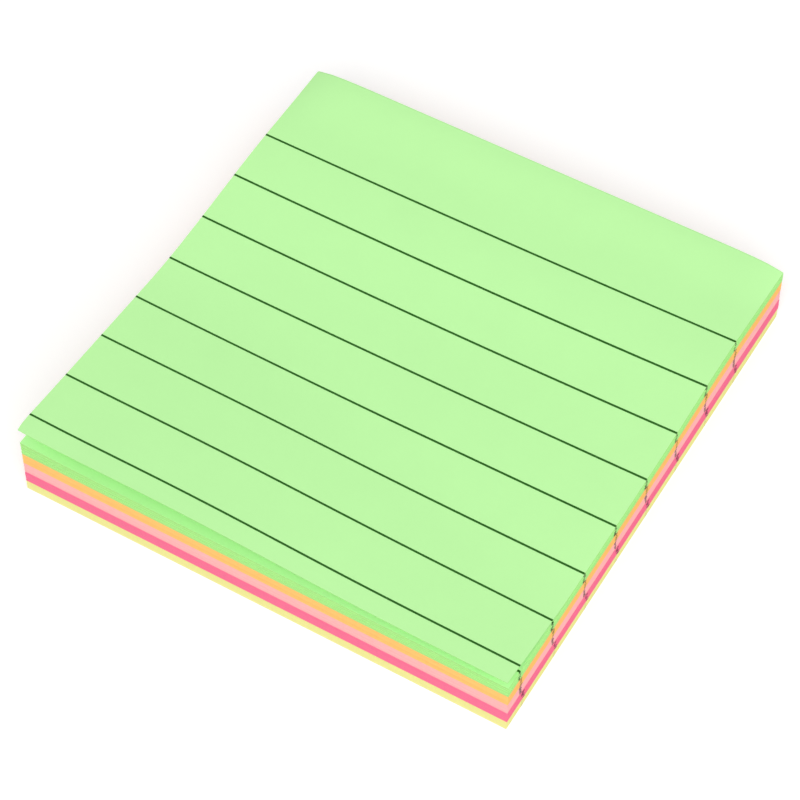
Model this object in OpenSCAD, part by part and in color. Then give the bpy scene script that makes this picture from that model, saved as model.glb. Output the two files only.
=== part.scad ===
// Square pad of ruled notes in five colours, with the top sheet lifting along its free front edge.
// Lengths are in millimetres. +Z is up, +Y points to the glued back edge and -Y to the free front edge.
// The origin is the middle of the pad at the height of the table.

/* [Sheets] */
// Width of a sheet, from the left edge to the right one
sheet_w = 76; // [50:1:102]
// Depth of a sheet, from the glued back edge to the free front edge
sheet_d = 76; // [60:1:102]
// Thickness of one sheet of paper
sheet_t = 0.095; // [0.08:0.005:0.12]
// Number of sheets of each colour
sheets_per_colour = 20; // [10:1:40]

/* [Stack] */
// How much thicker the loose front of the stack is than its glued back
front_rise = 0.6; // [0:0.1:2]
// How much more the upper sheets spread at the front than the lower ones, as a power of their height
opening = 3; // [1:0.5:4]
// How far the top of the stack has slid back over the bottom
back_lean = 0.5; // [0:0.1:2]
// How far the top of the stack has slid to the right over the bottom
side_lean = 0.3; // [0:0.1:1]
// Thickness of the plain liner that covers the glue of the last sheet
backing_t = 0.1; // [0.08:0.01:0.4]

/* [Glue] */
// Depth of the strip of removable glue under the top sheet
glue_d = 12; // [6:1:18]
// Bare margin between the glue and the edges of the sheet
glue_margin = 1; // [0.5:0.5:2]
// Thickness of the coat of glue
glue_t = 0.03; // [0.02:0.01:0.06]

/* [Lifted sheet] */
// Distance of the bend from the front edge, measured along the left edge
bend_from_front = 41; // [30:1:44]
// How far the bend line is turned towards the front on its way to the right
bend_turn = 15.8; // [0:0.2:18]
// Radius of the bend
bend_r = 85; // [30:1:120]
// Angle at which the loose part of the sheet rises
lift_angle = 6.5; // [2:0.1:10]

/* [Ruling] */
// Bare strip between the glue and the first ruled line
writing_gap = 1.3; // [0.5:0.1:4]
// Distance from one ruled line to the next
line_pitch = 8.4; // [5:0.1:9]
// Least distance between the last ruled line and the front edge
foot_d = 2; // [1:0.5:6]
// Width of a ruled line
line_w = 0.32; // [0.1:0.02:0.36]
// Thickness of the printed ink
ink_t = 0.02; // [0.01:0.01:0.04]
// How far each colour's ruling is printed behind its place, from the bottom colour to the top one
ruling_shift = [1.2, 0.8, 0.1, 0.5, 0]; // [-1.5:0.1:1.5]

/* [Hidden] */

yellow = "#ecf07c";
hot_pink = "#f6739a";
light_pink = "#ffb8bb";
orange = "#fcc46c";
green = "#c0fba8";
liner_white = "#f6f5ee";
glue_clear = "#f0f4e4";
ink_green = "#2c5a1c";

colours = [yellow, hot_pink, light_pink, orange, green];
colour_count = len(colours);
// The top sheet is a piece of its own, so the green block holds one sheet less.
bound_sheets = colour_count * sheets_per_colour - 1;

// Height of the stack with a number of sheets on the liner, at the back and at the front
function back_z(sheets) = backing_t + sheets * sheet_t;
function spread(sheets) = front_rise * pow(sheets / bound_sheets, opening);
function front_z(sheets) = back_z(sheets) + spread(sheets);

stack_back_z = back_z(bound_sheets);
stack_front_z = front_z(bound_sheets);

// The stack leans evenly, its bottom a little to the front left and its top a little to the back right.
function back_y(z) = sheet_d / 2 + back_lean * (z / stack_back_z - 0.5);
function front_y(z) = back_y(z) - sheet_d;
function left_x(z) = -sheet_w / 2 + side_lean * (z / stack_back_z - 0.5);
stack_tilt = atan2(stack_front_z - stack_back_z, back_y(stack_back_z) - front_y(stack_front_z));

// The first line stands clear of the glue, and as many follow it as the sheet has room for.
header_d = glue_margin + glue_d + writing_gap;
line_count = floor((sheet_d - header_d - foot_d) / line_pitch) + 1;

// The loose part of the sheet, measured across the bend at a distance from the left edge
function loose_length(from_left) = (bend_from_front - from_left * tan(bend_turn)) * cos(bend_turn);
bend_length = bend_r * lift_angle * PI / 180;
// A bent sheet keeps its length, so its free edge draws back by what the slope takes up.
function drawn_back(from_left) =
    max(0, loose_length(from_left) - bend_length / 2) * (1 - cos(lift_angle)) / cos(bend_turn);

// What is trimmed to an outline is first drawn longer and wider than it is.
reach = sheet_w + sheet_d;
bend_steps = 16;

// Number of sheets below a colour, counted from the bottom, and up to its top
function first_sheet(level) = level * sheets_per_colour;
function last_sheet(level) = min(first_sheet(level + 1), bound_sheets);

// Side view of a slice across the sheets of one colour, between two distances from the back edge
function slice(level, from_back, to_back) = let (a = first_sheet(level), b = last_sheet(level)) [
    side_point(a, to_back),
    side_point(a, from_back),
    side_point(b, from_back),
    side_point(b, to_back)
];
function side_point(sheets, from_back) =
    let (z = back_z(sheets) + spread(sheets) * from_back / sheet_d) [back_y(z) - from_back, z];

// Turns its side views into blocks that lean with the stack, between two distances from the left side
module leaning(from_left, to_left) {
    intersection() {
        rotate([90, 0, 90])
            linear_extrude(reach, center = true)
                children();
        rotate([90, 0, 0])
            linear_extrude(reach, center = true)
                polygon([
                    [left_x(0) + from_left, 0],
                    [left_x(0) + to_left, 0],
                    [left_x(reach) + to_left, reach],
                    [left_x(reach) + from_left, reach]
                ]);
    }
}

// All the sheets of one colour, a wedge that is thicker at the loose front than at the glued back
module colour_block(level) {
    color(colours[level])
        leaning(0, sheet_w)
            polygon(slice(level, 0, sheet_d));
}

// Places its children on the top of the stack, with their origin at its back left corner
module on_stack() {
    translate([left_x(stack_back_z), back_y(stack_back_z), stack_back_z])
        rotate([-stack_tilt, 0, 0])
            children();
}

// Side view of the bent sheet at a height above the stack: flat, then round the bend, then rising
function bent_line(height) = concat(
    [[-reach, height]],
    [for (i = [0 : bend_steps]) bend_point(height, lift_angle * i / bend_steps)],
    [bend_point(height, lift_angle) + reach * [cos(lift_angle), sin(lift_angle)]]
);
function bend_point(height, turned) =
    [0, bend_r] + (bend_r - height) * [sin(turned), -cos(turned)];
function reversed(points) = [for (i = [len(points) - 1 : -1 : 0]) points[i]];

// A thin layer that follows the bent sheet, from a height above the stack
module bent_layer(height, thick) {
    translate([0, bend_from_front - sheet_d, 0])
        rotate([0, 0, -bend_turn])
            rotate([90, 0, -90])
                linear_extrude(2 * reach, center = true)
                    polygon(concat(bent_line(height), reversed(bent_line(height + thick))));
}

// Outline of the bent sheet seen from above, as tall as its children need
module sheet_outline() {
    translate([0, 0, -1])
        linear_extrude(reach)
            polygon([
                [0, 0],
                [sheet_w, 0],
                [sheet_w, drawn_back(sheet_w) - sheet_d],
                [0, drawn_back(0) - sheet_d]
            ]);
}

module backing_sheet() {
    color(liner_white)
        translate([left_x(0), front_y(0), 0])
            cube([sheet_w, sheet_d, backing_t]);
}

module yellow_sheets() {
    colour_block(0);
}

module hot_pink_sheets() {
    colour_block(1);
}

module light_pink_sheets() {
    colour_block(2);
}

module orange_sheets() {
    colour_block(3);
}

module green_sheets() {
    colour_block(4);
}

module glue_strip() {
    color(glue_clear)
        on_stack()
            translate([glue_margin, -glue_margin - glue_d, 0])
                cube([sheet_w - 2 * glue_margin, glue_d, glue_t]);
}

module top_sheet() {
    color(green)
        on_stack()
            intersection() {
                bent_layer(glue_t, sheet_t);
                sheet_outline();
            }
}

// Ink lines that run off both side edges of the top sheet and follow its bend
module ruled_lines() {
    color(ink_green)
        on_stack()
            intersection() {
                bent_layer(glue_t + sheet_t, ink_t);
                sheet_outline();
                for (i = [0 : line_count - 1])
                    translate([0, -header_d - i * line_pitch - line_w / 2, 0])
                        cube([sheet_w, line_w, reach]);
            }
}

// Cut ends of the ruled lines of the sheets below, a mark a colour on both side faces
module line_ends() {
    color(ink_green)
        for (from_left = [-ink_t, sheet_w])
            leaning(from_left, from_left + ink_t)
                for (level = [0 : colour_count - 1], i = [0 : line_count - 1]) {
                    from_back = header_d + i * line_pitch - ruling_shift[level];
                    polygon(slice(level, from_back - line_w / 2, from_back + line_w / 2));
                }
}

backing_sheet();
yellow_sheets();
hot_pink_sheets();
light_pink_sheets();
orange_sheets();
green_sheets();
glue_strip();
top_sheet();
ruled_lines();
line_ends();
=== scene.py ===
"""Dresses a packed pad of ruled notes: its sheets, a lifting top sheet, the ruling and a soft-lit stage."""

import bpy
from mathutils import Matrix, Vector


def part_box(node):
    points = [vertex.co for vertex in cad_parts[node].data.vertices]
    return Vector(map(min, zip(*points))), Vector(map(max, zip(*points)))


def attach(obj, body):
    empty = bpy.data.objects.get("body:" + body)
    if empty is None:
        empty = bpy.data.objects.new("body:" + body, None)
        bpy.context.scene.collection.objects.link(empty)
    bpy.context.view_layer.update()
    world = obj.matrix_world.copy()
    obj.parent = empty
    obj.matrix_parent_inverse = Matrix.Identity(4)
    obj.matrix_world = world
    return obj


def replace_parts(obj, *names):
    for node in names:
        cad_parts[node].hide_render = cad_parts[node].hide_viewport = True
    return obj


bl_info = {
    "name": "Ruled note pad",
    "version": (1, 0, 0),
    "blender": (4, 5, 0),
    "location": "3D View > Sidebar > Note pad",
    "description": "Builds a pad of ruled notes in five colours, sheet by sheet, round its packed model",
    "category": "Object",
}

import math

import bpy
from bpy.props import FloatProperty, FloatVectorProperty, IntProperty, PointerProperty
from mathutils import Matrix, Vector

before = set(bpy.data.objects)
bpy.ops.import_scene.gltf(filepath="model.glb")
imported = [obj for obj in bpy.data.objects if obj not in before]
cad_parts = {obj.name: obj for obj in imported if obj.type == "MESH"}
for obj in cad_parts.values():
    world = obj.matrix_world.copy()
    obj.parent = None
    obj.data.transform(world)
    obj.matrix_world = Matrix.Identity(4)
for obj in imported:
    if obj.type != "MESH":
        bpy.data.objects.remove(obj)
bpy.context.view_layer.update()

MM = 0.001
BODY = "root"
COLOURS = ("yellow", "hot_pink", "light_pink", "orange", "green")
LINER_LOW, LINER_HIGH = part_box("backing_sheet")
STACK_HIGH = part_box("green_sheets")[1]
GLUE_LOW, GLUE_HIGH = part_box("glue_strip")

# Points along the two sides of each kind of plate, enough to follow the pad's curves
BOUND_POINTS = (33, 25)
TOP_POINTS = (97, 97)
STRIP_POINTS = (97, 2)
GLUE_POINTS = (65, 13)
MARK_POINTS = (2, 2)

# A face stands upright if its normal rises less than this
UPRIGHT = 0.5

# What the seed of each kind of random number adds to the common one
SIDEWAYS_DRAW, LENGTHWAYS_DRAW, PRINT_DRAW, MARK_DRAW = range(4)


def linear(code):
    """A written colour such as #c0fba8 as the three numbers that a shader takes."""
    shares = [int(code[i:i + 2], 16) / 255 for i in (1, 3, 5)]
    return tuple(c / 12.92 if c <= 0.04045 else ((c + 0.055) / 1.055) ** 2.4 for c in shares)


def length(name, default, description):
    """A size that the panel shows in the scene's own unit."""
    return FloatProperty(name=name, description=description, default=default, unit="LENGTH", precision=6)


def colour(name, code, description):
    """A colour that the panel shows as a swatch."""
    return FloatVectorProperty(
        name=name, description=description, default=linear(code), subtype="COLOR", min=0, max=1
    )


def angle(name, degrees, description):
    """An angle that the panel shows in degrees."""
    return FloatProperty(name=name, description=description, default=math.radians(degrees), subtype="ANGLE")


def amount(name, default, description):
    """A plain number without a unit."""
    return FloatProperty(name=name, description=description, default=default, precision=4)


class PadSizes(bpy.types.PropertyGroup):
    """Sizes of the bound stack"""

    sheets: IntProperty(
        name="Sheets of each colour", description="The top sheet counts as a green one", default=20
    )
    sheet_w: length("Sheet width", LINER_HIGH.x - LINER_LOW.x, "From the left edge to the right one")
    sheet_d: length("Sheet depth", LINER_HIGH.y - LINER_LOW.y, "From the glued back edge to the free front")
    sheet_t: length("Sheet pitch", 0.095 * MM, "From one sheet to the next at the glued back edge")
    liner_t: length("Liner thickness", LINER_HIGH.z, "Plain sheet under the last note")
    air: length("Air", 0.008 * MM, "Gap between two bound sheets at the back edge")
    back_lean: length("Lean to the back", -LINER_LOW.y - LINER_HIGH.y, "How far the top has slid back")
    side_lean: length("Lean to the right", -LINER_LOW.x - LINER_HIGH.x, "How far the top has slid sideways")
    opening: amount("Opening", 3.0, "How much more the upper sheets spread at the front than the lower ones")
    wander: length("Wander of a sheet", 0.035 * MM, "How far a sheet lies out of line with the next")
    proud: FloatVectorProperty(
        name="Block offsets", description="How far each colour stands out to the front right, bottom first",
        default=(0, 0.1 * MM, 0, 0, 0), size=5, unit="LENGTH", precision=6,
    )
    swell_h: length("Back swell height", 1.0 * MM, "How far the glue swells the stack along its back edge")
    swell_w: length("Back swell width", 7 * MM, "Half width of that swell")
    swell_power: amount("Back swell fullness", 16.0, "How close to the side edges that swell stays level")
    swell_drop: amount("Back swell drop", 0.8, "Share of that swell which is lost at the side edges")
    ridge_h: length("Glue ridge height", 0.8 * MM, "How far the stack stands up where the glue ends")
    ridge_skew: length("Ridge skew", 0.18 * MM, "How much higher that ridge is at the right edge")
    ridge_at: length("Glue ridge place", 16 * MM, "Distance of the ridge from the back edge")
    ridge_w: length("Glue ridge width", 12 * MM, "Half width of the ridge")
    dip_h: length("Dip depth", 0.6 * MM, "How far the middle of the stack sinks in behind the glue")
    dip_at: length("Dip place", 27 * MM, "Distance of the dip from the back edge")
    dip_w: length("Dip width", 17.5 * MM, "Half width of the dip along the sheet")
    brim_h: length("Brim height", 0.70 * MM, "How far the side edges stand above the dip's middle")
    brim_skew: length("Brim skew", 0.03 * MM, "How much of that the right edge has more than the left one")
    fan_h: length("Fan height", 0.6 * MM, "How far the upper sheets spread at the front left corner")
    fan_reach: length("Fan reach", 16 * MM, "How far from that corner the spread fades")
    fan_power: amount("Fan power", 12.0, "How few of the upper sheets take part in the spread")
    seed: IntProperty(name="Seed", description="Seed of every random offset", default=7)


class SheetSizes(bpy.types.PropertyGroup):
    """Sizes of the lifting top sheet and its glue"""

    glue_w: length("Glue width", GLUE_HIGH.x - GLUE_LOW.x, "Width of the coat of glue")
    glue_d: length("Glue depth", 12 * MM, "Depth of the coat of glue")
    glue_margin: length("Glue margin", 1 * MM, "Bare strip behind the glue")
    glue_t: length("Glue thickness", 0.03 * MM, "Thickness of the coat of glue")
    bend_from_front: length("Bend place", 41 * MM, "Distance of the bend from the front, along the left edge")
    bend_turn: angle("Bend turn", 15.8, "How far the bend turns to the front on its way to the right")
    bend_r: length("Bend radius", 85 * MM, "Radius of the bend")
    lift: angle("Lift angle", 6.5, "Angle at which the loose part rises")
    sharp: angle("Sharp angle", 40, "Edges that turn more than this are cut edges and stay sharp")
    wave_h: length("Wave height", 0.28 * MM, "Height of the wave across the loose part")
    wave_reach: length("Wave reach", 30 * MM, "Distance past the bend at which the wave has that height")
    wave_turns: amount("Wave turns", 1.36, "Number of waves across the sheet")
    wave_phase: angle("Wave phase", -90.5, "Where the wave starts at the left edge")
    curl_h: length("Corner curl", 0.34 * MM, "How far the front left corner curls up by itself")
    curl_reach: length("Curl reach", 5 * MM, "How far from the corner that curl fades")
    wear: length("Corner wear", 0.35 * MM, "How far the point of that corner is worn back")
    wear_reach: length("Wear reach", 1.2 * MM, "How far from the corner the wear fades")
    slide: length("Slide", 0.3 * MM, "How far the sheet has slid forward on the stack")


class RulingSizes(bpy.types.PropertyGroup):
    """Sizes of the printed ruling"""

    lines: IntProperty(name="Ruled lines", description="Number of lines on a sheet", default=8)
    header_d: length("Header depth", 14.3 * MM, "Distance of the first line from the back edge")
    line_pitch: length("Line pitch", 8.4 * MM, "Distance from one line to the next")
    line_w: length("Line width", 0.32 * MM, "Width of a printed line")
    ink_t: length("Ink thickness", 0.02 * MM, "Thickness of the printed ink")
    mark_w: length("Mark width", 0.58 * MM, "Width of the cut end of a line, which the knife has smeared")
    mark_share: amount("Mark height", 0.95, "Share of a sheet's edge that the cut end of a line colours")
    least_mark: amount("Least mark", 0.45, "Size of the faintest mark as a share of the fullest")
    batch: IntProperty(name="Batch", description="Number of sheets whose marks are alike", default=5)
    shifts: FloatVectorProperty(
        name="Print shifts", description="How far each colour's lines lie back, from the bottom colour up",
        default=(1.2 * MM, 1.1 * MM, 0.3 * MM, 0.5 * MM, 0), size=5, unit="LENGTH", precision=6,
    )
    drifts: FloatVectorProperty(
        name="Print drifts", description="How much further back they lie in each colour's lowest sheet",
        default=(0, 0.3 * MM, 0.2 * MM, 0, 0), size=5, unit="LENGTH", precision=6,
    )
    wanders: FloatVectorProperty(
        name="Print wanders", description="How far one sheet's print lies off its colour's line",
        default=(0.14 * MM, 0.26 * MM, 0.14 * MM, 0.14 * MM, 0.14 * MM), size=5, unit="LENGTH", precision=6,
    )
    depths: FloatVectorProperty(
        name="Print depths", description="Share of the paper's colour left in the marks, from the bottom up",
        default=(0.8, 0.2, 0.24, 0.28, 0.08), size=5,
    )


class PadColours(bpy.types.PropertyGroup):
    """Colours of the papers, the ink and the glue"""

    yellow: colour("Yellow", "#f0f29a", "Yellow paper")
    hot_pink: colour("Hot pink", "#f87ba2", "Hot pink paper")
    light_pink: colour("Light pink", "#ffbcc0", "Light pink paper")
    orange: colour("Orange", "#fdc978", "Orange paper")
    green: colour("Green", "#c0fba8", "Green paper")
    # The cut edges are darker than their papers: partly the cut paper's own tone, partly painted shade of the
    # upright faces
    yellow_edge: colour("Yellow edge", "#ebe49f", "Cut edge of the yellow paper")
    hot_pink_edge: colour("Hot pink edge", "#f07697", "Cut edge of the hot pink paper")
    light_pink_edge: colour("Light pink edge", "#f9b7b5", "Cut edge of the light pink paper")
    orange_edge: colour("Orange edge", "#f9c573", "Cut edge of the orange paper")
    green_edge: colour("Green edge", "#a5e082", "Cut edge of the green paper")
    ink: colour("Ink", "#1e5c08", "Printed lines on green paper")
    glue: colour("Glue", "#f0f4e4", "Removable glue")
    liner: colour("Liner", "#f6f5ee", "Coated liner paper")


class StageSettings(bpy.types.PropertyGroup):
    """Camera, lamps and floor"""

    azimuth: angle("Azimuth", 34.968, "Turn of the camera round the pad, from straight in front")
    elevation: angle("Elevation", 55.067, "Height of the camera above the table")
    roll: angle("Roll", -4.632, "Turn of the camera about its own axis")
    aim: FloatVectorProperty(
        name="Aim", description="Point of the table in the middle of the picture",
        default=(-1.036 * MM, -0.520 * MM, 0), subtype="TRANSLATION", unit="LENGTH", precision=6,
    )
    distance: length("Distance", 432.7 * MM, "Distance of the camera from that point")
    lens: amount("Lens", 139.92, "Focal length in millimetres")
    sensor: amount("Sensor", 36.0, "Width of the camera's sensor in millimetres")
    near: length("Near limit", 0.01, "What is closer to the camera isn't drawn")
    far: length("Far limit", 20.0, "What is further from the camera isn't drawn")
    front_power: FloatProperty(
        name="Front lamp", description="Power of the lamp before the pad", default=7.5, unit="POWER"
    )
    front_place: FloatVectorProperty(
        name="Front lamp place", description="Where the lamp before the pad hangs",
        default=(0.37, -0.80, 0.95), subtype="TRANSLATION", unit="LENGTH",
    )
    side_power: FloatProperty(
        name="Side lamp", description="Power of the lamp beside the pad", default=4.2, unit="POWER"
    )
    side_place: FloatVectorProperty(
        name="Side lamp place", description="Where the lamp beside the pad hangs",
        default=(1.05, -0.5, 0.42), subtype="TRANSLATION", unit="LENGTH",
    )
    lamp_size: length("Lamp size", 0.9, "Side of each lamp's soft box")
    sky: amount("Sky", 0.62, "Strength of the even light from all round")
    floor_glow: amount("Floor glow", 0.24, "Light that the camera sees added to the floor")
    floor: colour("Floor", "#f4f4f4", "Paper roll under the pad")
    floor_half: length("Floor reach", 1.5, "Half the side of the floor")
    floor_drop: length("Floor drop", 0.01 * MM, "How far the floor lies under the pad")


class Term:
    """A number inside a node tree. Arithmetic on it adds the nodes that work it out."""

    def __init__(self, tree, socket):
        self.tree = tree
        self.socket = socket

    def math(self, operation, *others):
        """The result of one Math node on this number and the others."""
        node = self.tree.nodes.new("ShaderNodeMath")
        node.operation = operation
        for socket, value in zip(node.inputs, (self, *others)):
            feed(self.tree, socket, value)
        return Term(self.tree, node.outputs[0])

    def __add__(self, other):
        return self.math("ADD", other)

    def __sub__(self, other):
        return self.math("SUBTRACT", other)

    def __mul__(self, other):
        return self.math("MULTIPLY", other)

    def __truediv__(self, other):
        return self.math("DIVIDE", other)

    def __pow__(self, other):
        return self.math("POWER", other)

    def __neg__(self):
        return self * -1

    def at_least(self, other):
        """The larger of the two numbers."""
        return self.math("MAXIMUM", other)

    def at_most(self, other):
        """The smaller of the two numbers."""
        return self.math("MINIMUM", other)

    def hill(self, centre, reach):
        """A smooth hill of height 1 at the centre, which fades over the reach."""
        off = (self - centre) / reach
        return (-(off * off)).math("EXPONENT")


def feed(tree, socket, value):
    """Links a term or a socket to an input, or writes a plain value on it."""
    if isinstance(value, Term):
        tree.links.new(value.socket, socket)
    elif isinstance(value, bpy.types.NodeSocket):
        tree.links.new(value, socket)
    else:
        socket.default_value = value


def add_node(tree, kind, inputs=(), **settings):
    """Adds a node with its settings, and feeds its inputs by name or by number."""
    node = tree.nodes.new(kind)
    for name, value in settings.items():
        setattr(node, name, value)
    for key, value in dict(inputs).items():
        feed(tree, node.inputs[key], value)
    return node


class ShapeTree:
    """A geometry tree under construction, whose sizes are named inputs."""

    def __init__(self, name):
        self.tree = bpy.data.node_groups.new(name, "GeometryNodeTree")
        self.tree.interface.new_socket("Geometry", in_out="OUTPUT", socket_type="NodeSocketGeometry")
        self.values = {}

    def add(self, kind, inputs=(), **settings):
        """Adds a node to the tree."""
        return add_node(self.tree, kind, inputs, **settings)

    def entry(self, name, value, kind):
        """The socket of a named input, which is made when it is first asked for."""
        known = [s for s in self.tree.interface.items_tree if s.name == name and s.in_out == "INPUT"]
        if not known:
            made = self.tree.interface.new_socket(name, in_out="INPUT", socket_type=kind)
            self.values[made.identifier] = value
        return self.add("NodeGroupInput").outputs[name]

    def size(self, name, value, kind="NodeSocketFloat"):
        """A named input as a number to work with."""
        return Term(self.tree, self.entry(name, value, kind))

    def count(self, name, value):
        """A named whole number."""
        return self.size(name, value, "NodeSocketInt")

    def vector(self, x=0.0, y=0.0, z=0.0):
        """Three numbers as one vector."""
        return self.add("ShaderNodeCombineXYZ", {"X": x, "Y": y, "Z": z}).outputs[0]

    def position(self):
        """The three coordinates of each point."""
        parts = self.add("ShaderNodeSeparateXYZ", {0: self.add("GeometryNodeInputPosition").outputs[0]})
        return [Term(self.tree, s) for s in parts.outputs]

    def index(self):
        """The number of each point or instance."""
        return Term(self.tree, self.add("GeometryNodeInputIndex").outputs[0])

    def plate(self, x, y, z, points):
        """A flat closed plate with its faces divided, as a mesh socket."""
        kept = {"Size": self.vector(x, y, z), "Vertices Z": 2}
        kept["Vertices X"], kept["Vertices Y"] = points
        return self.add("GeometryNodeMeshCube", kept).outputs["Mesh"]

    def row(self, count):
        """A row of points, all at the origin until they are placed."""
        kept = {"Count": count, "Offset": (0, 0, 0)}
        return self.add("GeometryNodeMeshLine", kept, mode="OFFSET").outputs["Mesh"]

    def placed(self, geometry, x, y, z):
        """The geometry with its points moved to these coordinates."""
        kept = {"Geometry": geometry, "Position": self.vector(x, y, z)}
        return self.add("GeometryNodeSetPosition", kept).outputs["Geometry"]

    def copies(self, points, plate, scale=(1, 1, 1)):
        """One real copy of the plate on each point."""
        kept = {"Points": points, "Instance": plate, "Scale": scale}
        made = self.add("GeometryNodeInstanceOnPoints", kept).outputs["Instances"]
        return self.add("GeometryNodeRealizeInstances", {"Geometry": made}).outputs["Geometry"]

    def random(self, low, high, number, seed):
        """A random number for each numbered sheet, the same in every tree."""
        node = self.add("FunctionNodeRandomValue", data_type="FLOAT")
        inputs = [s for s in node.inputs if s.enabled]
        for socket, value in zip(inputs, (low, high, number, seed)):
            feed(self.tree, socket, value)
        return Term(self.tree, next(s for s in node.outputs if s.enabled))

    def painted(self, geometry, name, material, selection=True):
        """The geometry with a material on the chosen faces."""
        kept = {"Geometry": geometry, "Material": self.entry(name, material, "NodeSocketMaterial")}
        kept["Selection"] = selection
        return self.add("GeometryNodeSetMaterial", kept).outputs["Geometry"]

    def side_faces(self):
        """True on the faces that stand upright."""
        normal = self.add("ShaderNodeSeparateXYZ", {0: self.add("GeometryNodeInputNormal").outputs[0]})
        return Term(self.tree, normal.outputs["Z"]).math("ABSOLUTE").math("LESS_THAN", UPRIGHT)

    def close(self, geometry):
        """Ends the tree with this geometry."""
        self.add("NodeGroupOutput", {0: geometry})

    def grow(self, name):
        """Runs the tree once and keeps the result as a plain mesh object at the origin."""
        carrier = bpy.data.objects.new(name + "_carrier", bpy.data.meshes.new(name + "_carrier"))
        bpy.context.scene.collection.objects.link(carrier)
        modifier = carrier.modifiers.new("Shape", "NODES")
        modifier.node_group = self.tree
        for identifier, value in self.values.items():
            modifier[identifier] = value
        depsgraph = bpy.context.evaluated_depsgraph_get()
        mesh = bpy.data.meshes.new_from_object(carrier.evaluated_get(depsgraph))
        bpy.data.objects.remove(carrier)
        if not mesh.polygons:
            raise RuntimeError(f"{name} came out empty")
        mesh.name = name
        piece = bpy.data.objects.new(name, mesh)
        bpy.context.scene.collection.objects.link(piece)
        return piece


def bound_count(pad):
    """Number of bound sheets, which is all of them but the top one."""
    return len(COLOURS) * pad.sheets - 1


def bound_range(pad, level):
    """The number of sheets below a colour, and how many sheets of that colour are bound."""
    first = level * pad.sheets
    return first, min(pad.sheets, bound_count(pad) - first)


def stack_height(pad):
    """Height of the bound stack at its glued back edge, with its liner."""
    return pad.liner_t + bound_count(pad) * pad.sheet_t


def flat_place(shape, pad):
    """Where each point lies on the even, upright stack: across it, from its back edge and up."""
    across, along, height = shape.position()
    return across, shape.size("Sheet depth", pad.sheet_d) / 2 - along, height


def from_corner(shape, pad, across, from_back):
    """Distances of a point from the left edge and from the front edge."""
    from_left = across + shape.size("Sheet width", pad.sheet_w) / 2
    from_front = shape.size("Sheet depth", pad.sheet_d) - from_back
    return from_left, from_front


def sheet_stray(shape, pad, number, level):
    """How far a numbered sheet lies off its place, to the right and to the back."""
    wander = shape.size("Wander", pad.wander)
    seed = shape.count("Seed", pad.seed)
    proud = shape.size("Block offset", pad.proud[level])
    right = shape.random(-wander, wander, number, seed + SIDEWAYS_DRAW) + proud
    back = shape.random(-wander, wander, number, seed + LENGTHWAYS_DRAW) - proud
    return right, back


def pad_relief(shape, pad, across, from_back):
    """How far the top of the stack stands above an even slope: swollen by the glue, and sunk in before it."""
    off_middle = across / shape.size("Sheet width", pad.sheet_w) * 2
    fullness = shape.size("Swell fullness", pad.swell_power)
    swell = from_back.hill(0.0, shape.size("Swell width", pad.swell_w))
    lost = off_middle.math("ABSOLUTE") ** fullness * shape.size("Swell drop", pad.swell_drop)
    swell = swell * (-lost + 1) * shape.size("Swell height", pad.swell_h)
    ridge = from_back.hill(shape.size("Ridge place", pad.ridge_at), shape.size("Ridge width", pad.ridge_w))
    skewed = off_middle * shape.size("Ridge skew", pad.ridge_skew)
    ridge = ridge * (skewed + shape.size("Ridge height", pad.ridge_h))
    dip = from_back.hill(shape.size("Dip place", pad.dip_at), shape.size("Dip width", pad.dip_w))
    brim = off_middle * off_middle * shape.size("Brim height", pad.brim_h)
    brim = brim + off_middle * shape.size("Brim skew", pad.brim_skew)
    return swell + ridge + dip * (brim - shape.size("Dip depth", pad.dip_h))


def pad_fan(shape, pad, across, from_back, share):
    """How far the upper sheets spread at the front left corner."""
    reach = shape.size("Fan reach", pad.fan_reach)
    from_left, from_front = from_corner(shape, pad, across, from_back)
    fade = (-(from_left + from_front) / reach).math("EXPONENT")
    return fade * shape.size("Fan height", pad.fan_h) * share ** shape.size("Fan power", pad.fan_power)


def on_pad(shape, pad, across, from_back, height, fanned):
    """Where a point of an even, upright stack lies on the real pad, which leans, swells and opens."""
    depth = shape.size("Sheet depth", pad.sheet_d)
    liner = shape.size("Liner thickness", pad.liner_t)
    top = shape.size("Stack height", stack_height(pad))
    share = ((height - liner) / (top - liner)).at_least(0).at_most(1)
    lean = (height / top).at_most(1) - 0.5
    spread = shape.size("Front rise", STACK_HIGH.z - stack_height(pad)) * from_back / depth
    risen = height + spread * share ** shape.size("Opening", pad.opening)
    risen = risen + pad_relief(shape, pad, across, from_back) * share
    if fanned:
        risen = risen + pad_fan(shape, pad, across, from_back, share)
    x = across + lean * shape.size("Lean to the right", pad.side_lean)
    y = depth / 2 - from_back + lean * shape.size("Lean to the back", pad.back_lean)
    return x, y, risen


def on_lifted(shape, settings, across, from_back, height):
    """Where a point of the top sheet lies: slid forward a little on the pad, and rising at its front."""
    pad = settings.pad
    sheet = settings.sheet
    x, y, z = on_pad(shape, pad, across, from_back, height, fanned=False)
    rise, drawn = lift_off(shape, pad, sheet, across, from_back)
    worn = (-off_corner(shape, pad, across, from_back) / shape.size("Wear reach", sheet.wear_reach))
    worn = worn.math("EXPONENT") * shape.size("Corner wear", sheet.wear)
    return x + worn, y + drawn - shape.size("Slide", sheet.slide), z + rise


def off_corner(shape, pad, across, from_back):
    """Distance of a point from the front left corner, over the sheet."""
    from_left, from_front = from_corner(shape, pad, across, from_back)
    return (from_left * from_left + from_front * from_front).math("SQRT")


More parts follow.
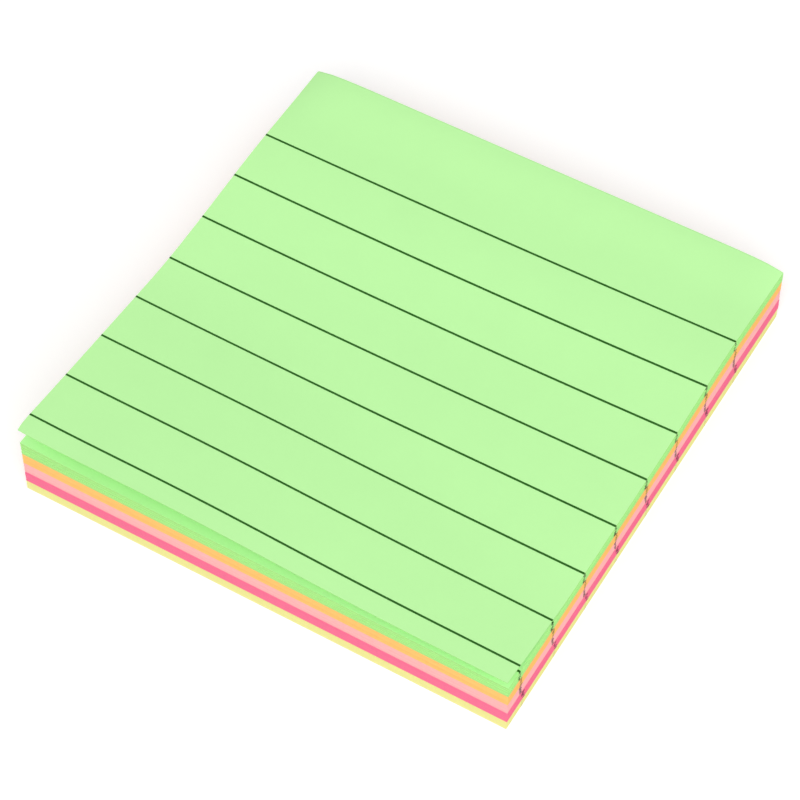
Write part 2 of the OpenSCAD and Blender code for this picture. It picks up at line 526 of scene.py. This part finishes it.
def lift_off(shape, pad, sheet, across, from_back):
    """How far the top sheet rises off the stack at a point, and how far that draws it back."""
    turn = sheet.bend_turn
    radius = shape.size("Bend radius", sheet.bend_r)
    lift = shape.size("Lift angle", sheet.lift)
    from_left, from_front = from_corner(shape, pad, across, from_back)
    beyond = shape.size("Bend place", sheet.bend_from_front) - from_front - from_left * math.tan(turn)
    beyond = (beyond * math.cos(turn)).at_least(0)
    turned = (beyond / radius).at_most(lift)
    loose = beyond - turned * radius
    rise = radius - radius * turned.math("COSINE") + loose * lift.math("SINE")
    drawn = turned * radius - radius * turned.math("SINE") + loose - loose * lift.math("COSINE")
    phase = from_left / shape.size("Sheet width", pad.sheet_w) * shape.size("Wave turns", sheet.wave_turns)
    wave = (phase * math.tau + shape.size("Wave phase", sheet.wave_phase)).math("SINE")
    growth = beyond / shape.size("Wave reach", sheet.wave_reach)
    wave = wave * growth * shape.size("Wave height", sheet.wave_h)
    curl = (-off_corner(shape, pad, across, from_back) / shape.size("Curl reach", sheet.curl_reach))
    curl = curl.math("EXPONENT")
    rise = rise + wave + curl * shape.size("Corner curl", sheet.curl_h)
    return rise, drawn / math.cos(turn)


def bound_sheets(settings, level):
    """One colour of the stack, every sheet a thin plate a little out of line with the next."""
    pad = settings.pad
    name = COLOURS[level]
    first, held = bound_range(pad, level)
    shape = ShapeTree(f"Bound {name} sheets")
    wander = shape.size("Wander", pad.wander)
    pitch = shape.size("Sheet pitch", pad.sheet_t)
    number = shape.index() + shape.count("First sheet", first)
    right, back = sheet_stray(shape, pad, number, level)
    middle = shape.size("Liner thickness", pad.liner_t) + (number + 0.5) * pitch
    points = shape.placed(shape.row(shape.count("Sheets", held).socket), right, back, middle)
    plate = shape.plate(
        shape.size("Sheet width", pad.sheet_w) - wander * 2,
        shape.size("Sheet depth", pad.sheet_d) - wander * 2,
        pitch - shape.size("Air", pad.air),
        BOUND_POINTS,
    )
    sheets = shape.copies(points, plate)
    sheets = shape.placed(sheets, *on_pad(shape, pad, *flat_place(shape, pad), fanned=True))
    sheets = shape.painted(sheets, "Paper", paper(settings, name))
    # The upright faces take the cut-edge colour, whose darker tone is partly painted shade
    sheets = shape.painted(sheets, "Cut edge", shaded_cut_edge(settings, name), shape.side_faces())
    shape.close(sheets)
    piece = shape.grow(f"loose_{name}_sheets")
    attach(piece, BODY)
    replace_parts(piece, f"{name}_sheets")


def line_marks(settings, level):
    """The cut ends of one colour's ruled lines, a small mark a sheet and a line on both side edges."""
    pad = settings.pad
    ruling = settings.ruling
    name = COLOURS[level]
    first, held = bound_range(pad, level)
    shape = ShapeTree(f"Line marks on {name}")
    lines = shape.count("Ruled lines", ruling.lines)
    seed = shape.count("Seed", pad.seed)
    pitch = shape.size("Sheet pitch", pad.sheet_t)
    ink = shape.size("Ink thickness", ruling.ink_t)
    sheet = (shape.index() / (lines * 2)).math("FLOOR")
    place = shape.index() - sheet * lines * 2
    line = (place / 2).math("FLOOR")
    side = (place - line * 2) * 2 - 1
    number = sheet + shape.count("First sheet", first)
    half_width = shape.size("Sheet width", pad.sheet_w) / 2 - shape.size("Wander", pad.wander) + ink / 2
    lowness = -(sheet / held) + 1
    drift = lowness * shape.size("Print drift", ruling.drifts[level])
    shift = shape.size("Print shift", ruling.shifts[level]) + drift
    wander = shape.size("Print wander", ruling.wanders[level])
    printed = shape.random(-wander, wander, number, seed + PRINT_DRAW)
    right, back = sheet_stray(shape, pad, number, level)
    from_back = line * shape.size("Line pitch", ruling.line_pitch)
    from_back = from_back + shape.size("Header depth", ruling.header_d)
    points = shape.placed(
        shape.row((shape.count("Sheets", held) * lines * 2).socket),
        side * half_width + right,
        shape.size("Sheet depth", pad.sheet_d) / 2 - from_back + shift + printed + back,
        shape.size("Liner thickness", pad.liner_t) + (number + 0.5) * pitch,
    )
    high = pitch * shape.size("Mark height", ruling.mark_share)
    plate = shape.plate(ink, shape.size("Mark width", ruling.mark_w), high, MARK_POINTS)
    # Each column numbers its batches by itself, so that no two columns are alike.
    batch = (number / shape.count("Batch", ruling.batch)).math("FLOOR") + place * len(COLOURS) * pad.sheets
    faint = shape.random(shape.size("Least mark", ruling.least_mark), 1.0, batch, seed + MARK_DRAW)
    marks = shape.copies(points, plate, shape.vector(1, faint, faint))
    marks = shape.placed(marks, *on_pad(shape, pad, *flat_place(shape, pad), fanned=True))
    shape.close(shape.painted(marks, "Ink", ink_on(settings, level)))
    piece = shape.grow(f"line_marks_{name}")
    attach(piece, BODY)
    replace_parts(piece, "line_ends")


def lifting_sheet(settings):
    """The top sheet, bound at the back and rising at its free front edge."""
    pad = settings.pad
    sheet = settings.sheet
    shape = ShapeTree("Lifting sheet")
    thick = shape.size("Sheet pitch", pad.sheet_t)
    plate = shape.plate(
        shape.size("Sheet width", pad.sheet_w), shape.size("Sheet depth", pad.sheet_d), thick, TOP_POINTS
    )
    across, from_back, height = flat_place(shape, pad)
    height = height + shape.size("Stack height", stack_height(pad))
    height = height + shape.size("Glue thickness", sheet.glue_t)
    leaf = shape.add("GeometryNodeRealizeInstances", {"Geometry": plate}).outputs["Geometry"]
    leaf = shape.placed(leaf, *on_lifted(shape, settings, across, from_back, height + thick / 2))
    leaf = shape.painted(leaf, "Paper", paper(settings, "green"))
    # The upright faces take the cut-edge colour, whose darker tone is partly painted shade
    leaf = shape.painted(leaf, "Cut edge", shaded_cut_edge(settings, "green"), shape.side_faces())
    shape.close(leaf)
    piece = shape.grow("lifting_sheet")
    smooth_faces(piece, sheet.sharp)
    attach(piece, BODY)
    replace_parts(piece, "top_sheet")


def smooth_faces(piece, sharp):
    """Shades a bent sheet smooth, apart from the edges that turn more than this angle."""
    piece.data.shade_smooth()
    piece.data.set_sharp_from_angle(angle=sharp)


def printed_lines(settings, name, height, on_top):
    """The ruled lines of one sheet as thin strips of ink that follow it."""
    pad = settings.pad
    ruling = settings.ruling
    shape = ShapeTree(f"Ruling {name}")
    ink = shape.size("Ink thickness", ruling.ink_t)
    from_back = shape.size("Header depth", ruling.header_d)
    from_back = from_back + shape.index() * shape.size("Line pitch", ruling.line_pitch)
    points = shape.placed(
        shape.row(shape.count("Ruled lines", ruling.lines).socket),
        0.0,
        shape.size("Sheet depth", pad.sheet_d) / 2 - from_back,
        shape.size("Height of the print", height) + ink / 2,
    )
    strip = shape.plate(
        shape.size("Sheet width", pad.sheet_w), shape.size("Line width", ruling.line_w), ink, STRIP_POINTS
    )
    lines = shape.copies(points, strip)
    across, from_back, raised = flat_place(shape, pad)
    if on_top:
        from_back = from_back - shape.size("Slide", settings.sheet.slide)
        place = on_lifted(shape, settings, across, from_back, raised)
    else:
        place = on_pad(shape, pad, across, from_back, raised, fanned=True)
    shape.close(shape.painted(shape.placed(lines, *place), "Ink", top_ink(settings)))
    piece = shape.grow(name)
    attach(piece, BODY)
    return piece


def glue_coat(settings):
    """The coat of removable glue between the stack and the top sheet."""
    pad = settings.pad
    sheet = settings.sheet
    shape = ShapeTree("Glue coat")
    depth = shape.size("Glue depth", sheet.glue_d)
    thick = shape.size("Glue thickness", sheet.glue_t)
    plate = shape.plate(shape.size("Glue width", sheet.glue_w), depth, thick, GLUE_POINTS)
    across, along, height = shape.position()
    from_back = shape.size("Glue margin", sheet.glue_margin) + depth / 2 - along
    height = height + shape.size("Stack height", stack_height(pad)) + thick / 2
    coat = shape.add("GeometryNodeRealizeInstances", {"Geometry": plate}).outputs["Geometry"]
    coat = shape.placed(coat, *on_pad(shape, pad, across, from_back, height, fanned=False))
    shape.close(shape.painted(coat, "Glue", glue_finish(settings)))
    piece = shape.grow("glue_coat")
    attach(piece, BODY)
    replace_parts(piece, "glue_strip")


class Finish:
    """A surface finish under construction, with its patterns on the piece's own coordinates."""

    def __init__(self, name):
        self.material = bpy.data.materials.new(name)
        self.material.use_nodes = True
        self.tree = self.material.node_tree
        self.shader = self.tree.nodes["Principled BSDF"]
        self.here = self.add("ShaderNodeTexCoord").outputs["Object"]

    def add(self, kind, inputs=(), **settings):
        """Adds a node to the finish."""
        return add_node(self.tree, kind, inputs, **settings)

    def set(self, **sockets):
        """Sets the shader's own numbers, named with underscores for spaces."""
        for name, value in sockets.items():
            self.shader.inputs[name.replace("_", " ")].default_value = value

    def grain(self, x, y, z, detail=2.0):
        """Noise whose grains have these sizes along the three axes, in metres."""
        scaled = self.add("ShaderNodeMapping", {"Vector": self.here, "Scale": (1 / x, 1 / y, 1 / z)})
        noise = self.add("ShaderNodeTexNoise", {"Vector": scaled.outputs[0], "Scale": 1.0, "Detail": detail})
        return Term(self.tree, noise.outputs["Fac"])

    def tint(self, share, tone, dark, light):
        """Gives the shader a colour between a darker and a lighter shade of one tone."""
        node = self.add("ShaderNodeMix", data_type="RGBA")
        inputs = [s for s in node.inputs if s.enabled]
        for socket, value in zip(inputs, (share, toned(tone, dark), toned(tone, light))):
            feed(self.tree, socket, value)
        mixed = next(s for s in node.outputs if s.enabled)
        self.tree.links.new(mixed, self.shader.inputs["Base Color"])

    def roughen(self, height, depth, strength):
        """Gives the shader a bump of this depth in metres."""
        bump = self.add("ShaderNodeBump", {"Height": height, "Distance": depth, "Strength": strength})
        self.tree.links.new(bump.outputs[0], self.shader.inputs["Normal"])


def toned(tone, factor):
    """A colour made lighter or darker by one factor, with its alpha."""
    return (*[min(1.0, c * factor) for c in tone], 1.0)


def finish_once(name, make):
    """The finish of that name, made when it is first asked for."""
    return bpy.data.materials.get(name) or make(name)


def paper(settings, name):
    """Uncoated coloured paper: a cloudy tint, fine fibres and a faint tooth."""

    def make(title):
        tone = getattr(settings.colours, name)
        finish = Finish(title)
        clouds = finish.grain(6 * MM, 6 * MM, 6 * MM)
        fibres = finish.grain(0.9 * MM, 0.16 * MM, 0.3 * MM, detail=3.0)
        crossing = finish.grain(0.16 * MM, 0.8 * MM, 0.3 * MM, detail=3.0)
        share = clouds * 0.5 + (fibres + crossing) * 0.25
        finish.tint(share, tone, dark=0.965, light=1.03)
        finish.roughen(fibres + crossing, depth=0.012 * MM, strength=0.35)
        finish.set(Roughness=0.78, Specular_IOR_Level=0.3)
        return finish.material

    return finish_once(f"{name} paper", make)


def shaded_cut_edge(settings, name):
    """The guillotined edges of the same paper, with a fine line a sheet and faint upright knife marks, in a
    darker tone that is partly painted shade of the upright faces.
    """

    def make(title):
        tone = getattr(settings.colours, f"{name}_edge")
        finish = Finish(title)
        sheets = finish.grain(14 * MM, 14 * MM, 0.11 * MM, detail=1.0)
        knife = finish.grain(0.35 * MM, 0.35 * MM, 9 * MM)
        share = sheets * 0.6 + knife * 0.4
        finish.tint(share, tone, dark=0.9, light=1.08)
        finish.roughen(sheets + knife, depth=0.03 * MM, strength=0.5)
        finish.set(Roughness=0.85, Specular_IOR_Level=0.25)
        return finish.material

    return finish_once(f"{name} cut edge", make)


def top_ink(settings):
    """Matt ink on green paper, with an uneven density."""

    def make(title):
        tone = settings.colours.ink
        finish = Finish(title)
        density = finish.grain(2.5 * MM, 0.3 * MM, 0.3 * MM, detail=3.0)
        finish.tint(density, tone, dark=0.7, light=1.35)
        finish.roughen(density, depth=0.004 * MM, strength=0.3)
        finish.set(Roughness=0.65, Specular_IOR_Level=0.25)
        return finish.material

    return finish_once("ruling ink", make)


def ink_on(settings, level):
    """The same ink cut through with a coloured paper, which tints it."""
    name = COLOURS[level]

    def make(title):
        # The marks take the cut edge's tone, painted shade included, scaled by the print depth
        tone = getattr(settings.colours, f"{name}_edge")
        depth = settings.ruling.depths[level]
        finish = Finish(title)
        density = finish.grain(0.2 * MM, 0.2 * MM, 0.12 * MM, detail=1.0)
        finish.tint(density, tone, dark=depth * 0.6, light=depth * 1.8)
        finish.roughen(density, depth=0.006 * MM, strength=0.3)
        finish.set(Roughness=0.75, Specular_IOR_Level=0.3)
        return finish.material

    return finish_once(f"ink on {name}", make)


def glue_finish(settings):
    """Removable glue: a milky film of tiny beads."""

    def make(title):
        tone = settings.colours.glue
        finish = Finish(title)
        beads = finish.grain(0.12 * MM, 0.12 * MM, 0.12 * MM)
        finish.tint(beads, tone, dark=0.94, light=1.02)
        finish.roughen(beads, depth=0.02 * MM, strength=0.6)
        finish.set(Roughness=0.42, Specular_IOR_Level=0.5)
        return finish.material

    return finish_once("removable glue", make)


def liner_finish(settings):
    """Coated liner paper: smooth and a little glossy, with a faint cloudiness."""

    def make(title):
        tone = settings.colours.liner
        finish = Finish(title)
        clouds = finish.grain(5 * MM, 5 * MM, 5 * MM, detail=3.0)
        finish.tint(clouds, tone, dark=0.96, light=1.01)
        finish.roughen(clouds, depth=0.02 * MM, strength=0.2)
        finish.set(Roughness=0.38, Specular_IOR_Level=0.45)
        return finish.material

    return finish_once("coated liner", make)


def seen_directly(tree):
    """1 where the camera, a mirror or a lens sees the surface, and 0 where it lights something."""
    path = add_node(tree, "ShaderNodeLightPath")
    seen = Term(tree, path.outputs["Is Camera Ray"])
    for name in ("Is Glossy Ray", "Is Transmission Ray"):
        seen = seen.at_least(Term(tree, path.outputs[name]))
    return seen


def floor_finish(stage):
    """A white paper roll that the camera sees as white, with the pad's shadow on it."""
    material = bpy.data.materials.new("white paper roll")
    material.use_nodes = True
    tree = material.node_tree
    shader = tree.nodes["Principled BSDF"]
    shader.inputs["Base Color"].default_value = (*stage.floor, 1)
    shader.inputs["Roughness"].default_value = 0.95
    shader.inputs["Specular IOR Level"].default_value = 0.0
    glow = seen_directly(tree) * stage.floor_glow
    light = add_node(tree, "ShaderNodeEmission", {"Color": (1, 1, 1, 1), "Strength": glow})
    total = add_node(tree, "ShaderNodeAddShader", {0: shader.outputs[0], 1: light.outputs[0]})
    tree.links.new(total.outputs[0], tree.nodes["Material Output"].inputs["Surface"])
    return material


def pad_world(stage):
    """Even light from all round, and plain white behind everything."""
    world = bpy.data.worlds.new("soft room")
    world.use_nodes = True
    tree = world.node_tree
    background = tree.nodes["Background"]
    background.inputs["Color"].default_value = (1, 1, 1, 1)
    seen = seen_directly(tree)
    feed(tree, background.inputs["Strength"], seen * (1 - stage.sky) + stage.sky)
    bpy.context.scene.world = world


def add_floor(stage):
    """A wide floor just under the pad."""
    half = stage.floor_half
    drop = stage.floor_drop
    mesh = bpy.data.meshes.new("floor")
    corners = [(-half, -half, -drop), (half, -half, -drop), (half, half, -drop), (-half, half, -drop)]
    mesh.from_pydata(corners, [], [(0, 1, 2, 3)])
    floor = bpy.data.objects.new("floor", mesh)
    bpy.context.scene.collection.objects.link(floor)
    mesh.materials.append(floor_finish(stage))


def add_lamp(name, place, power, size):
    """A square soft box that faces the pad."""
    lamp = bpy.data.lights.new(name, "AREA")
    lamp.energy = power
    lamp.size = size
    holder = bpy.data.objects.new(name, lamp)
    holder.location = place
    holder.rotation_euler = (-Vector(place)).to_track_quat("-Z", "Y").to_euler()
    bpy.context.scene.collection.objects.link(holder)


def add_camera(stage):
    """The camera that took the picture, worked out from its angles, its aim and its distance."""
    turn = stage.azimuth
    tilt = stage.elevation
    back = Vector((math.sin(turn) * math.cos(tilt), -math.cos(turn) * math.cos(tilt), math.sin(tilt)))
    level = Vector((math.cos(turn), math.sin(turn), 0))
    upright = back.cross(level)
    right = level * math.cos(stage.roll) + upright * math.sin(stage.roll)
    up = back.cross(right)
    data = bpy.data.cameras.new("camera")
    data.lens = stage.lens
    data.sensor_width = stage.sensor
    data.clip_start = stage.near
    data.clip_end = stage.far
    camera = bpy.data.objects.new("camera", data)
    camera.matrix_world = Matrix.Translation(Vector(stage.aim) + back * stage.distance) @ Matrix(
        (right, up, back)
    ).transposed().to_4x4()
    bpy.context.scene.collection.objects.link(camera)
    bpy.context.scene.camera = camera


class NotePadSettings(bpy.types.PropertyGroup):
    """Every size and colour of the pad and its stage"""

    pad: PointerProperty(type=PadSizes, name="Stack", description="Sizes of the bound stack")
    sheet: PointerProperty(type=SheetSizes, name="Top sheet", description="Sizes of the lifting sheet")
    ruling: PointerProperty(type=RulingSizes, name="Ruling", description="Sizes of the printed lines")
    colours: PointerProperty(type=PadColours, name="Colours", description="Colours of the pad")
    stage: PointerProperty(type=StageSettings, name="Stage", description="Camera, lamps and floor")


class NOTEPAD_OT_bound_sheets(bpy.types.Operator):
    """Build the five colours of bound sheets"""

    bl_idname = "notepad.bound_sheets"
    bl_label = "Bound sheets"

    def execute(self, context):
        for level in range(len(COLOURS)):
            bound_sheets(context.scene.note_pad, level)
        return {"FINISHED"}


class NOTEPAD_OT_line_marks(bpy.types.Operator):
    """Build the cut ends of the ruled lines on both side edges"""

    bl_idname = "notepad.line_marks"
    bl_label = "Line marks"

    def execute(self, context):
        for level in range(len(COLOURS)):
            line_marks(context.scene.note_pad, level)
        return {"FINISHED"}


class NOTEPAD_OT_glue_coat(bpy.types.Operator):
    """Build the coat of glue that holds the top sheet"""

    bl_idname = "notepad.glue_coat"
    bl_label = "Glue coat"

    def execute(self, context):
        glue_coat(context.scene.note_pad)
        return {"FINISHED"}


class NOTEPAD_OT_lifting_sheet(bpy.types.Operator):
    """Build the top sheet that rises at its front"""

    bl_idname = "notepad.lifting_sheet"
    bl_label = "Lifting sheet"

    def execute(self, context):
        lifting_sheet(context.scene.note_pad)
        return {"FINISHED"}


class NOTEPAD_OT_ruling(bpy.types.Operator):
    """Print the ruled lines on the top sheet and on the one below it"""

    bl_idname = "notepad.ruling"
    bl_label = "Ruling"

    def execute(self, context):
        settings = context.scene.note_pad
        pad = settings.pad
        under = stack_height(pad) - pad.air / 2
        over = stack_height(pad) + settings.sheet.glue_t + pad.sheet_t
        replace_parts(printed_lines(settings, "top_sheet_ruling", over, on_top=True), "ruled_lines")
        printed_lines(settings, "second_sheet_ruling", under, on_top=False)
        return {"FINISHED"}


class NOTEPAD_OT_liner(bpy.types.Operator):
    """Give the liner its coated paper"""

    bl_idname = "notepad.liner"
    bl_label = "Liner"

    def execute(self, context):
        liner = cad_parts["backing_sheet"]
        liner.data.materials.clear()
        liner.data.materials.append(liner_finish(context.scene.note_pad))
        return {"FINISHED"}


class NOTEPAD_OT_stage(bpy.types.Operator):
    """Set up the floor, the light and the camera"""

    bl_idname = "notepad.stage"
    bl_label = "Stage"

    def execute(self, context):
        stage = context.scene.note_pad.stage
        context.scene.view_settings.view_transform = "Standard"
        pad_world(stage)
        add_floor(stage)
        add_lamp("front_lamp", stage.front_place, stage.front_power, stage.lamp_size)
        add_lamp("side_lamp", stage.side_place, stage.side_power, stage.lamp_size)
        add_camera(stage)
        return {"FINISHED"}


class NOTEPAD_PT_build(bpy.types.Panel):
    """Lists the steps that build the pad"""

    bl_idname = "NOTEPAD_PT_build"
    bl_label = "Note pad"
    bl_space_type = "VIEW_3D"
    bl_region_type = "UI"
    bl_category = "Note pad"

    def draw(self, context):
        for step in STEPS:
            self.layout.operator(step.bl_idname)


STEPS = (
    NOTEPAD_OT_bound_sheets,
    NOTEPAD_OT_line_marks,
    NOTEPAD_OT_glue_coat,
    NOTEPAD_OT_lifting_sheet,
    NOTEPAD_OT_ruling,
    NOTEPAD_OT_liner,
    NOTEPAD_OT_stage,
)
GROUPS = (PadSizes, SheetSizes, RulingSizes, PadColours, StageSettings, NotePadSettings)


def register():
    for item in (*GROUPS, *STEPS, NOTEPAD_PT_build):
        bpy.utils.register_class(item)
    bpy.types.Scene.note_pad = PointerProperty(type=NotePadSettings)


def unregister():
    del bpy.types.Scene.note_pad
    for item in reversed((*GROUPS, *STEPS, NOTEPAD_PT_build)):
        bpy.utils.unregister_class(item)


def main():
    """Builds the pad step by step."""
    register()
    bpy.ops.notepad.bound_sheets()
    bpy.ops.notepad.line_marks()
    bpy.ops.notepad.glue_coat()
    bpy.ops.notepad.lifting_sheet()
    bpy.ops.notepad.ruling()
    bpy.ops.notepad.liner()
    bpy.ops.notepad.stage()


if __name__ == "__main__":
    main()
